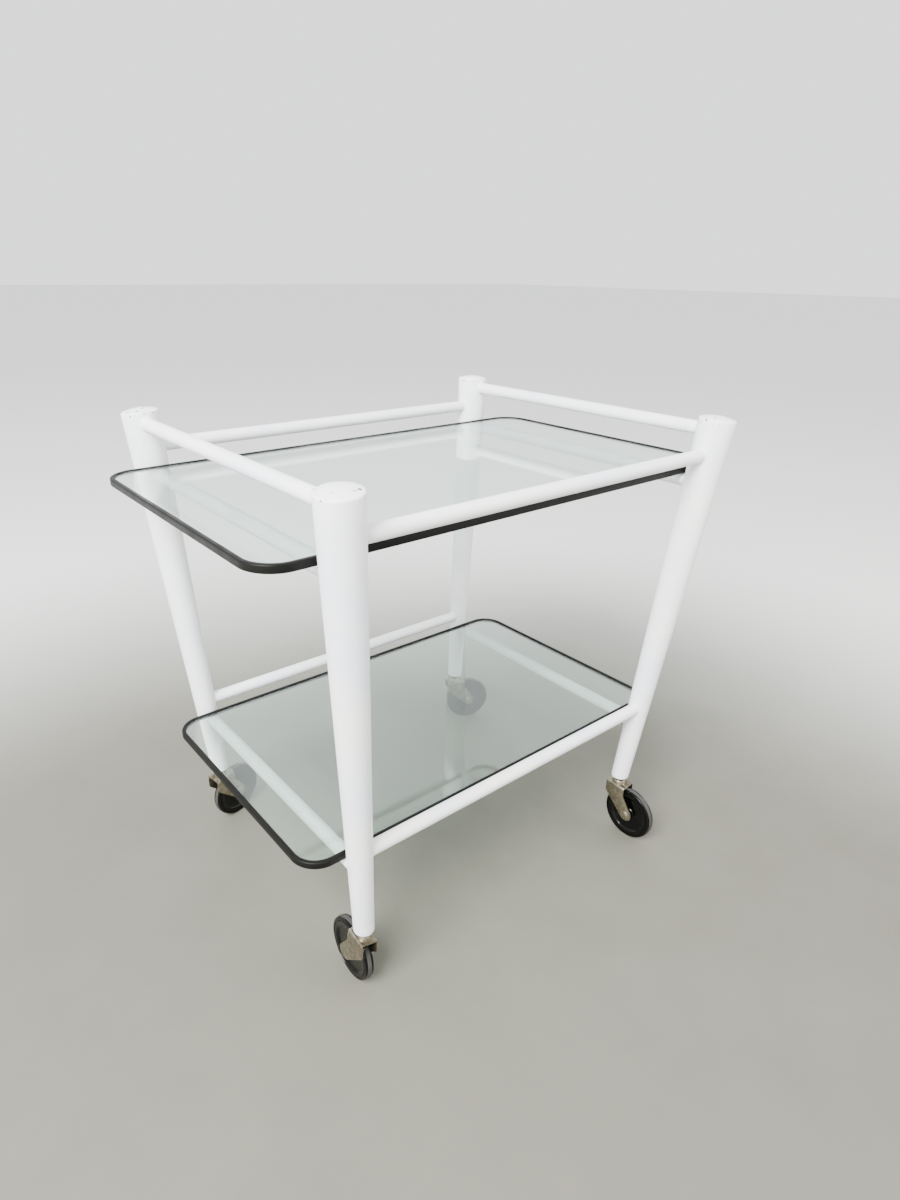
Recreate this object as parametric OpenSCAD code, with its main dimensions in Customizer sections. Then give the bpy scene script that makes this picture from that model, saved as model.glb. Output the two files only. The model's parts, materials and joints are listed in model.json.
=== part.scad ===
// Two-tier serving trolley: four turned, splayed and tapered legs joined by ten dowel rails,
// two loose glass shelves in black edging, and four swivel casters in the feet.
// Millimetres. +X along the length, +Y across the width, +Z up, floor at z = 0.

/* [Legs] */
// Length of the frame between the centres of the leg tops
top_len = 530; // [460:1:680]
// Width of the frame between the centres of the leg tops
top_wid = 422; // [380:1:560]
// Length between the centres of the feet
foot_len = 452; // [400:1:560]
// Width between the centres of the feet
foot_wid = 360; // [300:1:440]
// Height of the leg tops above the floor
top_height = 598; // [480:1:760]
// Diameter of a leg at its top
leg_top_d = 43; // [35:0.5:54]
// Diameter of a leg at its foot
leg_foot_d = 23.5; // [20:0.5:30]
// Rise of the domed end grain at the top of a leg
leg_dome = 3; // [1:0.5:6]
// Radius of the rounded rim at the top of a leg
leg_rim_r = 2.5; // [1:0.5:5]

/* [Rails] */
// Diameter of the dowel rails
rail_d = 16; // [12:0.5:20]
// How far the handle rails' axes lie below the leg tops
handle_drop = 14; // [12:0.5:25]
// How far the upper long rails' axes lie above the upper shelf's top
upper_rail_rise = 19; // [10:0.5:22]
// How far the lower long rails' axes lie above the lower shelf's top
lower_rail_rise = 8.5; // [4:0.5:60]
// How far short of a leg's axis each tenon stops
tenon_stop = 4; // [2:0.5:6]
// Gap between the end of a tenon and the floor of its hole
tenon_end_gap = 0.3; // [0.1:0.1:1]
// Radial gap round a tenon in its hole
tenon_gap = 0.05; // [0.02:0.01:0.1]

/* [Shelves] */
// How far the upper shelf's top lies below the leg tops
upper_shelf_drop = 61; // [55:1:110]
// How far the lower shelf's top lies above the feet
lower_shelf_rise = 107; // [75:1:220]
// How far the upper shelf passes the leg axes at each end
upper_overhang = 66; // [40:1:100]
// How far the lower shelf passes the leg axes at each end
lower_overhang = 53; // [30:1:90]
// Gap between the upper shelf and a leg on each side
upper_side_gap = 1; // [0.5:0.1:6]
// Gap between the lower shelf and a leg on each side
lower_side_gap = 3.6; // [0.5:0.1:8]
// Corner radius of the upper shelf
upper_corner_r = 35; // [15:1:60]
// Corner radius of the lower shelf
lower_corner_r = 32; // [15:1:60]
// Thickness of the glass
glass_t = 6; // [4:0.5:10]
// Thickness of the edging's lips above and below the glass
lip_t = 1.2; // [0.8:0.1:2]
// How far the lips reach in from the outer edge
lip_depth = 5; // [3:0.5:8]
// Thickness of the edging's wall round the outside
edging_wall = 1.6; // [1:0.1:3]
// Gap between the glass and the edging's groove
glass_gap = 0.05; // [0.02:0.01:0.2]
// Gap between a shelf and the rails that carry it
seat_gap = 0.3; // [0.05:0.05:0.5]

/* [Casters] */
// Diameter of a caster's wheel
wheel_d = 75; // [60:1:90]
// Width of a wheel across its rims
wheel_w = 11; // [9:0.5:18]
// How far the wheel trails behind the swivel axis
trail = 24.5; // [20:0.5:30]
// Thickness of the fork's sheet steel
fork_t = 2; // [1.5:0.1:3]
// Length of the fork's top plate ahead of the swivel axis
plate_front = 13.5; // [11:0.5:16]
// Length of the fork's top plate behind the swivel axis
plate_back = 16.5; // [11:0.5:17]
// Height of the plate's underside above the top of the wheel, which turns behind the plate
wheel_top_gap = 0; // [0:0.5:6]
// Depth of a side plate's front edge below the top of the plate
cheek_front = 17; // [12:0.5:22]
// Depth of a side plate's back edge below the top of the plate
cheek_back = 13; // [10:0.5:20]
// Radius of a side plate's round end at the axle
cheek_end_r = 9.5; // [7:0.5:12]
// Height of the raised boss pressed up in the plate round the stem
boss_h = 5.5; // [2:0.5:8]
// Gap between the wheel's hub and each side plate
hub_gap = 0.5; // [0.2:0.1:1]
// How far the hub stands out beyond the rim on each side
hub_boss = 2; // [1:0.5:4]
// Diameter of the stem
stem_d = 8; // [7:0.1:9.6]
// Length of the stem inside its socket
stem_len = 34; // [25:1:40]
// Radial running gap round the stem, and round the axle in the wheel
running_gap = 0.05; // [0.02:0.01:0.1]
// Height of the thrust washer between the boss and the socket's flange
washer_t = 3; // [2:0.5:8]
// Thickness of the socket's flange under the foot
flange_t = 2.4; // [1:0.1:3]
// Diameter of the axle rivet
axle_d = 6; // [5:0.5:8]
// Diameter of the wheel's hub
hub_d = 16; // [14:0.5:22]
// Thickness of the wheel's web between hub and rim
web_t = 6; // [4:0.5:8]
// How far the rim reaches in from the tread
rim_depth = 9; // [7:0.5:12]
// Width of the tyre band
tread_w = 5; // [3:0.5:7]
// Depth of the tyre band
tread_depth = 5; // [3:0.5:6]
// Way each caster trails, as an angle from +X: front left, front right, back left, back right
caster_yaws = [87, -91, 15, -25];

/* [Hidden] */
$fn = 64;
corners = ["front_left", "front_right", "back_left", "back_right"];

// Colours
paint = [0.93, 0.93, 0.91];
clear_glass = [0.78, 0.87, 0.83, 0.45];
black_vinyl = [0.05, 0.05, 0.05];
dull_steel = [0.58, 0.54, 0.47];
dark_steel = [0.25, 0.24, 0.22];
black_plastic = [0.06, 0.06, 0.06];
grey_rubber = [0.42, 0.42, 0.40];
bronze = [0.66, 0.55, 0.32];

// Heights of the caster, from the floor up
wheel_r = wheel_d / 2;
plate_z = wheel_d + wheel_top_gap + fork_t;
flange_gap = 0.1;
// How far a cut passes through the surface that it opens
over = 1;
boss_z = plate_z + boss_h;
flange_z = boss_z + washer_t + flange_gap;
foot_z = flange_z + flange_t;

// The line of a leg: the height along it, its centre and its radius at a height z
leg_rise = top_height - foot_z;
lean_x = (top_len - foot_len) / 2;
lean_y = (top_wid - foot_wid) / 2;
lean_tilt = atan2(norm([lean_x, lean_y]), leg_rise);
lean_turn = atan2(lean_y, lean_x);
leg_axis_len = norm([lean_x, lean_y, leg_rise]);
function up(z) = (z - foot_z) / leg_rise;
function leg_x(z) = foot_len / 2 + lean_x * up(z);
function leg_y(z) = foot_wid / 2 + lean_y * up(z);
function leg_r(z) = (leg_foot_d + (leg_top_d - leg_foot_d) * up(z)) / 2;
// A level cut through a leaning leg is an ellipse, a little longer than the leg's diameter
function leg_reach(z) = leg_r(z) / cos(lean_tilt);

// Heights above the floor of the shelves' tops and undersides and of the rails' axes
shelf_t = glass_t + 2 * lip_t;
upper_shelf_height = top_height - upper_shelf_drop;
lower_shelf_height = foot_z + lower_shelf_rise;
upper_shelf_z = upper_shelf_height - shelf_t;
lower_shelf_z = lower_shelf_height - shelf_t;
upper_shelf_rail_z = upper_shelf_z - seat_gap - rail_d / 2;
lower_shelf_rail_z = lower_shelf_z - seat_gap - rail_d / 2;
handle_z = top_height - handle_drop;
upper_rail_z = upper_shelf_height + upper_rail_rise;
lower_rail_z = lower_shelf_height + lower_rail_rise;

// Shelves, fitted between the legs
upper_shelf_len = 2 * (leg_x(upper_shelf_height) + upper_overhang);
lower_shelf_len = 2 * (leg_x(lower_shelf_height) + lower_overhang);
upper_shelf_wid = 2 * (leg_y(upper_shelf_z) - leg_reach(upper_shelf_z) - upper_side_gap);
lower_shelf_wid = 2 * (leg_y(lower_shelf_z) - leg_reach(lower_shelf_z) - lower_side_gap);

// Socket and stem
socket_wall = 1.2;
socket_clear = 1;
socket_bore_d = stem_d + 2 * running_gap;
socket_d = socket_bore_d + 2 * socket_wall;
socket_len = stem_len + socket_clear;
socket_hole_gap = 0.05;
flange_rim = 2.5;
flange_d = socket_d + 2 * flange_rim;
washer_rim = 4;
washer_d = stem_d + 2 * washer_rim;
boss_draft = 1;
stem_head_rim = 2;
stem_head_d = stem_d + 2 * stem_head_rim;
stem_head_t = 2.5;

// Fork, wheel and axle
hub_w = wheel_w + 2 * hub_boss;
fork_inside = hub_w + 2 * hub_gap;
fork_w = fork_inside + 2 * fork_t;
axle_hole_gap = 0.1;
axle_hole_d = axle_d + 2 * axle_hole_gap;
axle_head_rim = 2;
axle_head_r = axle_d / 2 + axle_head_rim;
axle_head_t = 2;
axle_head_edge = 0.6;
bush_wall = 1.5;
bush_gap = 0.05;
bush_bore_d = axle_d + 2 * running_gap;
bush_d = bush_bore_d + 2 * bush_wall;
bush_end = 0.2;
bush_w = hub_w + 2 * bush_end;
tread_gap = 0.05;
rim_round = 1.5;
tread_proud = 0.5;
shoulder_r = wheel_r - tread_proud;
face_draft = 1;

// Points of an arc about c with radius r, from angle a0 to a1 in n steps
function arc(c, r, a0, a1, n) = [for (i = [0 : n]) let (a = a0 + (a1 - a0) * i / n)
    [c[0] + r * cos(a), c[1] + r * sin(a)]];

// Point where a line from p touches a circle about c; side is 1 or -1
function touch(p, c, r, side) =
    let (d = p - c, a = atan2(d[1], d[0]) + side * acos(r / norm(d)))
    c + r * [cos(a), sin(a)];

// Place something made for the +X +Y corner of the frame at another corner
module at_corner(name) {
    left = name == "front_left" || name == "back_left";
    front = name == "front_left" || name == "front_right";
    mirror([left ? 1 : 0, 0, 0])
        mirror([0, front ? 1 : 0, 0])
            children();
}

// Place a caster's piece: origin on the floor under the foot, +X the way the wheel trails
module at_caster(i) {
    right = corners[i] == "front_right" || corners[i] == "back_right";
    back = corners[i] == "back_left" || corners[i] == "back_right";
    translate([(right ? 1 : -1) * foot_len / 2, (back ? 1 : -1) * foot_wid / 2, 0])
        rotate([0, 0, caster_yaws[i]])
            children();
}

// Place something along the wheel's axle, with +Z across the caster
module on_axle() {
    translate([trail, 0, wheel_r])
        rotate([90, 0, 0])
            children();
}

// ---- Legs ----

// Turned leg along +Z: straight taper, rounded rim and a slightly domed end
module leg_turning(below) {
    foot_r = leg_foot_d / 2;
    top_r = leg_top_d / 2;
    taper = (top_r - foot_r) / (leg_axis_len - leg_rim_r);
    flat_r = top_r - leg_rim_r;
    dome_r = (flat_r * flat_r + leg_dome * leg_dome) / (2 * leg_dome);
    dome_half = asin(flat_r / dome_r);
    rim_sweep = 75;
    rotate_extrude()
        polygon(concat(
            [[0, -below], [foot_r - taper * below, -below]],
            arc([flat_r, leg_axis_len - leg_rim_r], leg_rim_r, 0, rim_sweep, 4),
            arc([0, leg_axis_len + leg_dome - dome_r], dome_r, 90 - dome_half, 90, 6)
        ));
}

// Blind hole for a tenon that runs along X, open towards the middle of the frame
module hole_along_x(z) {
    floor_x = leg_x(z) - tenon_stop + tenon_end_gap;
    mouth_x = leg_x(z) - leg_top_d;
    translate([mouth_x, leg_y(z), z])
        rotate([0, 90, 0])
            cylinder(d = rail_d + 2 * tenon_gap, h = floor_x - mouth_x);
}

// Blind hole for a tenon that runs along Y, open towards the middle of the frame
module hole_along_y(z) {
    floor_y = leg_y(z) - tenon_stop + tenon_end_gap;
    mouth_y = leg_y(z) - leg_top_d;
    translate([leg_x(z), mouth_y, z])
        rotate([-90, 0, 0])
            cylinder(d = rail_d + 2 * tenon_gap, h = floor_y - mouth_y);
}

module leg(name) {
    below = leg_foot_d;
    cut = 4 * leg_foot_d;
    color(paint)
        at_corner(name)
            difference() {
                translate([foot_len / 2, foot_wid / 2, foot_z])
                    rotate([0, 0, lean_turn])
                        rotate([0, lean_tilt, 0])
                            leg_turning(below);
                translate([foot_len / 2, foot_wid / 2, foot_z - cut / 2])
                    cube(cut, center = true);
                hole_along_y(handle_z);
                hole_along_x(upper_rail_z);
                hole_along_y(upper_shelf_rail_z);
                hole_along_x(lower_rail_z);
                hole_along_y(lower_shelf_rail_z);
                translate([foot_len / 2, foot_wid / 2, foot_z - over])
                    cylinder(d = socket_d + 2 * socket_hole_gap, h = socket_len + socket_clear + over);
            }
}

// ---- Rails ----

// Dowel along X at height z; side is 1 at the back and -1 at the front
module rail_along_x(z, side) {
    length = 2 * (leg_x(z) - tenon_stop);
    color(paint)
        translate([-length / 2, side * leg_y(z), z])
            rotate([0, 90, 0])
                cylinder(d = rail_d, h = length);
}

// Dowel along Y at height z; side is 1 at the right end and -1 at the left end
module rail_along_y(z, side) {
    length = 2 * (leg_y(z) - tenon_stop);
    color(paint)
        translate([side * leg_x(z), -length / 2, z])
            rotate([-90, 0, 0])
                cylinder(d = rail_d, h = length);
}

// ---- Shelves ----

// Flat plate with round corners, its underside at z = 0
module rounded_plate(length, width, corner_r, thick) {
    linear_extrude(thick) {
        square([length - 2 * corner_r, width], center = true);
        square([length, width - 2 * corner_r], center = true);
        for (x = [-1, 1], y = [-1, 1])
            translate([x * (length / 2 - corner_r), y * (width / 2 - corner_r)])
                circle(r = corner_r);
    }
}

// The same plate drawn in by a margin all round
module inset_plate(length, width, corner_r, thick, margin) {
    rounded_plate(length - 2 * margin, width - 2 * margin, corner_r - margin, thick);
}

module shelf_glass(length, width, corner_r, z) {
    color(clear_glass)
        translate([0, 0, z + lip_t])
            inset_plate(length, width, corner_r, glass_t, edging_wall);
}

// U-shaped strip round the glass: an outer wall with a lip above and below
module shelf_edging(length, width, corner_r, z) {
    color(black_vinyl)
        translate([0, 0, z])
            difference() {
                rounded_plate(length, width, corner_r, shelf_t);
                translate([0, 0, -over])
                    inset_plate(length, width, corner_r, shelf_t + 2 * over, lip_depth);
                translate([0, 0, lip_t - glass_gap])
                    inset_plate(length, width, corner_r, glass_t + 2 * glass_gap, edging_wall - glass_gap);
            }
}

// ---- Casters ----

// Sleeve in the foot with a flange under it
module stem_socket(i) {
    color(dark_steel)
        at_caster(i)
            difference() {
                union() {
                    translate([0, 0, flange_z])
                        cylinder(d = flange_d, h = flange_t);
                    translate([0, 0, flange_z])
                        cylinder(d = socket_d, h = flange_t + socket_len);
                }
                translate([0, 0, flange_z - over])
                    cylinder(d = socket_bore_d, h = flange_t + socket_len + 2 * over);
            }
}

// Stem riveted into the plate: head below, shank through plate, boss and washer into the socket
module caster_stem(i) {
    head_z = plate_z - fork_t - stem_head_t;
    color(dull_steel)
        at_caster(i)
            translate([0, 0, head_z])
                union() {
                    cylinder(d = stem_head_d, h = stem_head_t);
                    cylinder(d = stem_d, h = foot_z + stem_len - head_z);
                }
}

module thrust_washer(i) {
    color(dark_steel)
        at_caster(i)
            translate([0, 0, boss_z])
                difference() {
                    cylinder(d = washer_d, h = washer_t);
                    translate([0, 0, -over])
                        cylinder(d = socket_bore_d, h = washer_t + 2 * over);
                }
}

// Outline of a side plate: a deep shoulder under the top plate, then a raked arm to the axle
module fork_side_outline() {
    eye = [trail, wheel_r];
    front_low = [-plate_front, plate_z - cheek_front];
    back_low = [plate_back, plate_z - cheek_back];
    polygon([
        [-plate_front, plate_z],
        front_low,
        touch(front_low, eye, cheek_end_r, 1),
        eye,
        touch(back_low, eye, cheek_end_r, -1),
        back_low,
        [plate_back, plate_z]
    ]);
    translate(eye)
        circle(r = cheek_end_r);
}

// Bent sheet-steel fork: top plate with a raised boss round the stem, and two side plates
module caster_fork(i) {
    color(dull_steel)
        at_caster(i)
            difference() {
                union() {
                    translate([-plate_front, -fork_w / 2, plate_z - fork_t])
                        cube([plate_front + plate_back, fork_w, fork_t]);
                    translate([0, 0, plate_z])
                        cylinder(r1 = washer_d / 2 + boss_draft, r2 = washer_d / 2, h = boss_h);
                    for (y = [fork_w / 2, -fork_inside / 2])
                        translate([0, y, 0])
                            rotate([90, 0, 0])
                                linear_extrude(fork_t)
                                    fork_side_outline();
                }
                translate([0, 0, plate_z - fork_t - over])
                    cylinder(d = stem_d, h = fork_t + boss_h + 2 * over);
                on_axle()
                    cylinder(d = axle_hole_d, h = fork_w + 2 * over, center = true);
            }
}

// One half of the axle rivet's outline, from its middle out to the crown of its head
function axle_half() = [
    [axle_d / 2, fork_w / 2],
    [axle_head_r, fork_w / 2],
    [axle_head_r, fork_w / 2 + axle_head_edge],
    [axle_d / 2, fork_w / 2 + axle_head_t - axle_head_edge],
    [0, fork_w / 2 + axle_head_t]
];

// Rivet through the fork and the wheel, with a low head on each side
module axle_rivet(i) {
    half = axle_half();
    last = len(half) - 1;
    color(dull_steel)
        at_caster(i)
            on_axle()
                rotate_extrude()
                    polygon(concat(half, [for (k = [last : -1 : 0]) [half[k][0], -half[k][1]]]));
}

// Bronze bush that the wheel turns on
module wheel_bush(i) {
    color(bronze)
        at_caster(i)
            on_axle()
                difference() {
                    cylinder(d = bush_d, h = bush_w, center = true);
                    cylinder(d = bush_bore_d, h = bush_w + 2 * over, center = true);
                }
}

// One face of the wheel's outline, from the hub out to the tyre's groove, on the +Z side
function wheel_face() = concat(
    [[bush_d / 2 + bush_gap, hub_w / 2], [hub_d / 2, hub_w / 2], [hub_d / 2 + face_draft, web_t / 2],
        [wheel_r - rim_depth, web_t / 2], [wheel_r - rim_depth + face_draft, wheel_w / 2]],
    arc([shoulder_r - rim_round, wheel_w / 2 - rim_round], rim_round, 90, 0, 5),
    [[shoulder_r, tread_w / 2 + tread_gap], [wheel_r - tread_depth, tread_w / 2 + tread_gap]]
);

// Moulded wheel with a hub, a thin web and a rim with a groove for the tyre
module wheel_disc(i) {
    face = wheel_face();
    last = len(face) - 1;
    color(black_plastic)
        at_caster(i)
            on_axle()
                rotate_extrude()
                    polygon(concat(face, [for (k = [last : -1 : 0]) [face[k][0], -face[k][1]]]));
}

// Grey band that the wheel rolls on, let into the rim
module wheel_tyre(i) {
    color(grey_rubber)
        at_caster(i)
            on_axle()
                difference() {
                    cylinder(r = wheel_r, h = tread_w, center = true);
                    cylinder(r = wheel_r - tread_depth + tread_gap, h = tread_w + 2 * over, center = true);
                }
}

for (name = corners)
    leg(name);
rail_along_y(handle_z, -1);  // handle_rail_left
rail_along_y(handle_z, 1);  // handle_rail_right
rail_along_x(upper_rail_z, -1);  // upper_long_rail_front
rail_along_x(upper_rail_z, 1);  // upper_long_rail_back
rail_along_y(upper_shelf_rail_z, -1);  // upper_shelf_rail_left
rail_along_y(upper_shelf_rail_z, 1);  // upper_shelf_rail_right
rail_along_x(lower_rail_z, -1);  // lower_long_rail_front
rail_along_x(lower_rail_z, 1);  // lower_long_rail_back
rail_along_y(lower_shelf_rail_z, -1);  // lower_shelf_rail_left
rail_along_y(lower_shelf_rail_z, 1);  // lower_shelf_rail_right
shelf_glass(upper_shelf_len, upper_shelf_wid, upper_corner_r, upper_shelf_z);  // upper_glass
shelf_edging(upper_shelf_len, upper_shelf_wid, upper_corner_r, upper_shelf_z);  // upper_edging
shelf_glass(lower_shelf_len, lower_shelf_wid, lower_corner_r, lower_shelf_z);  // lower_glass
shelf_edging(lower_shelf_len, lower_shelf_wid, lower_corner_r, lower_shelf_z);  // lower_edging
for (i = [0 : 3]) {
    stem_socket(i);
    caster_stem(i);
    thrust_washer(i);
    caster_fork(i);
    axle_rivet(i);
    wheel_disc(i);
    wheel_tyre(i);
    wheel_bush(i);
}
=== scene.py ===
# %% [markdown]
# # A painted tea trolley
# The trolley has four turned legs that lean outwards, ten dowel rails, two loose glass shelves
# in a black rubbery strip, and a swivel caster under each leg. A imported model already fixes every
# place, size and joint, so this script only makes better-looking pieces, each one lying exactly
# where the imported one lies. It starts by loading that frame and noting the box that it fills.

import json
import math

import bmesh
import bpy
from mathutils import Matrix, Vector
from mathutils.bvhtree import BVHTree

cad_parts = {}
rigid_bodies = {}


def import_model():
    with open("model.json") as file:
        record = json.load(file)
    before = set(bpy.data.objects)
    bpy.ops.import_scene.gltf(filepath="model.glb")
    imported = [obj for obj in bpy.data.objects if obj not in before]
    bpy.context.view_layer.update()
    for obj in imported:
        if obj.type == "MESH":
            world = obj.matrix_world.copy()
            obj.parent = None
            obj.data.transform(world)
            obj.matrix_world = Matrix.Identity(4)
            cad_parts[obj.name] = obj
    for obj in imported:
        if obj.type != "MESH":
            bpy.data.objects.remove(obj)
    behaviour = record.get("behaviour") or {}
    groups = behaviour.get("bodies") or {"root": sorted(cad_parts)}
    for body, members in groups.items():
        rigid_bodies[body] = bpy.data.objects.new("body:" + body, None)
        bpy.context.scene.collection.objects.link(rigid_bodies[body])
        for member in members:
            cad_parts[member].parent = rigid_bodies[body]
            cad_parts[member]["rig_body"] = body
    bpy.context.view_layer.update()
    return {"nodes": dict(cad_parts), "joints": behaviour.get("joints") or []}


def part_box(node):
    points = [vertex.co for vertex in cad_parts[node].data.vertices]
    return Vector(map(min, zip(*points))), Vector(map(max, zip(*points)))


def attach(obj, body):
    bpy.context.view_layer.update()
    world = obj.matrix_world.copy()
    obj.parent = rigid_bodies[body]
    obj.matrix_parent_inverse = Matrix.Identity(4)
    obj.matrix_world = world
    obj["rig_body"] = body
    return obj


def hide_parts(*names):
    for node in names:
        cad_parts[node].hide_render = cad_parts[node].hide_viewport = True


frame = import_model()
joints = {joint["name"]: joint for joint in frame["joints"]}
print("nodes in the frame:", len(frame["nodes"]), "joints:", len(joints))

# %% [markdown]
# ## Sizes
# Sizes are named here once, in metres. Places aren't written down: they are read from the frame.
# A rail's box gives its axis, and because a leg's centre line passes through the axes of the rails
# that enter it, the rails also say how the leg leans.

# %% Name the sizes
MM = 0.001
CORNERS = ("front_left", "front_right", "back_left", "back_right")

LEG_TOP_R = 21.5 * MM
LEG_FOOT_R = 11.75 * MM
LEG_RIM = 2.5 * MM
LEG_DOME = 3 * MM
HANDLE_DROP = 14 * MM

CORNER_R = {"upper": 35 * MM, "lower": 32 * MM}
STRIP_WALL = 1.6 * MM
LIP_DEPTH = 5 * MM
LIP_T = 1.15 * MM

WHEEL_R = 37.5 * MM
WHEEL_HALF = 5.5 * MM
FORK_HALF = 10 * MM
SHEET_T = 2 * MM
AXLE_R = 3 * MM


# %% Read places from the frame
def middle(node):
    """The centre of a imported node's box."""
    low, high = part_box(node)
    return (low + high) / 2


def on_line(height, low, high):
    """The value at a height on the line through two (value, height) readings."""
    return low[0] + (high[0] - low[0]) * (height - low[1]) / (high[1] - low[1])


def leg_centre(corner, height):
    """The point of a leg's centre line at a height, from the rails that enter the leg."""
    side, end = corner.split("_")
    handle, shelf = middle(f"handle_rail_{end}"), middle(f"lower_shelf_rail_{end}")
    upper, lower = middle(f"upper_long_rail_{side}"), middle(f"lower_long_rail_{side}")
    x = on_line(height, (shelf.x, shelf.z), (handle.x, handle.z))
    y = on_line(height, (lower.y, lower.z), (upper.y, upper.z))
    return Vector((x, y, height))


FOOT_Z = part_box("leg_front_left")[0].z
TOP_Z = middle("handle_rail_left").z + HANDLE_DROP
leg_lean = leg_centre("back_right", TOP_Z) - leg_centre("back_right", FOOT_Z)
lean_degrees = math.degrees(leg_lean.angle((0, 0, 1)))
print("a leg is", round(leg_lean.length, 4), "m long and leans", round(lean_degrees, 2))

# %% [markdown]
# ## Two helpers for finishes
# Colours are written as the hex values that a paint chart gives, and one function turns them into
# the linear values that the shader works in. The other helper adds a node, sets it and links it,
# so that a finish reads as a list of its layers.


# %% Colour, pattern size and nodes
def hex_colour(code):
    """An sRGB hex value, such as "#F0EFEA", as linear red, green, blue and alpha."""
    parts = [int(code[k:k + 2], 16) / 255 for k in (1, 3, 5)]
    linear = [p / 12.92 if p <= 0.04045 else ((p + 0.055) / 1.055) ** 2.4 for p in parts]
    return (*linear, 1.0)


def features(size_mm):
    """The texture scale that gives features of that size, as Object coordinates are metres."""
    return 1 / (size_mm * MM)


def add_node(tree, kind, sockets=None, **settings):
    """Adds a node, with settings on the node and values or links in its sockets."""
    made = tree.nodes.new(kind)
    for name, value in settings.items():
        setattr(made, name, value)
    for socket, value in (sockets or {}).items():
        if isinstance(value, bpy.types.NodeSocket):
            tree.links.new(value, made.inputs[socket])
        else:
            made.inputs[socket].default_value = value
    return made


def new_finish(name, **sockets):
    """A material, its node tree and its shader, with the plain values set on the shader."""
    finish = bpy.data.materials.new(name)
    finish.use_nodes = True
    tree = finish.node_tree
    shader = tree.nodes["Principled BSDF"]
    for socket, value in sockets.items():
        shader.inputs[socket.replace("_", " ")].default_value = value
    return finish, tree, shader


MIX_FACTOR, MIX_A, MIX_B, MIX_RESULT = 0, 6, 7, 2

# %% [markdown]
# ## White paint over turned wood
# The legs and rails are hardwood under several coats of white alkyd paint, brushed along the
# piece. Such paint is satin, with an IOR near 1.5 and a roughness near 0.4. Up close it shows
# faint bristle marks along the grain, a soft orange peel, a tone that drifts a little between
# cooler and warmer white, small chips at the rims, and grey scuffs near the floor.
# A bristle mark is about a millimetre wide and many times as long, so one noise is squeezed
# along the piece by a Mapping node, which is why each direction has its own version.

# %% Brushed white paint
BRISTLE_MM = 1.6
PEEL_MM = 3.5
DRIFT_MM = 90
CHIP_MM = 5
SCUFF_MM = 7


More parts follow.
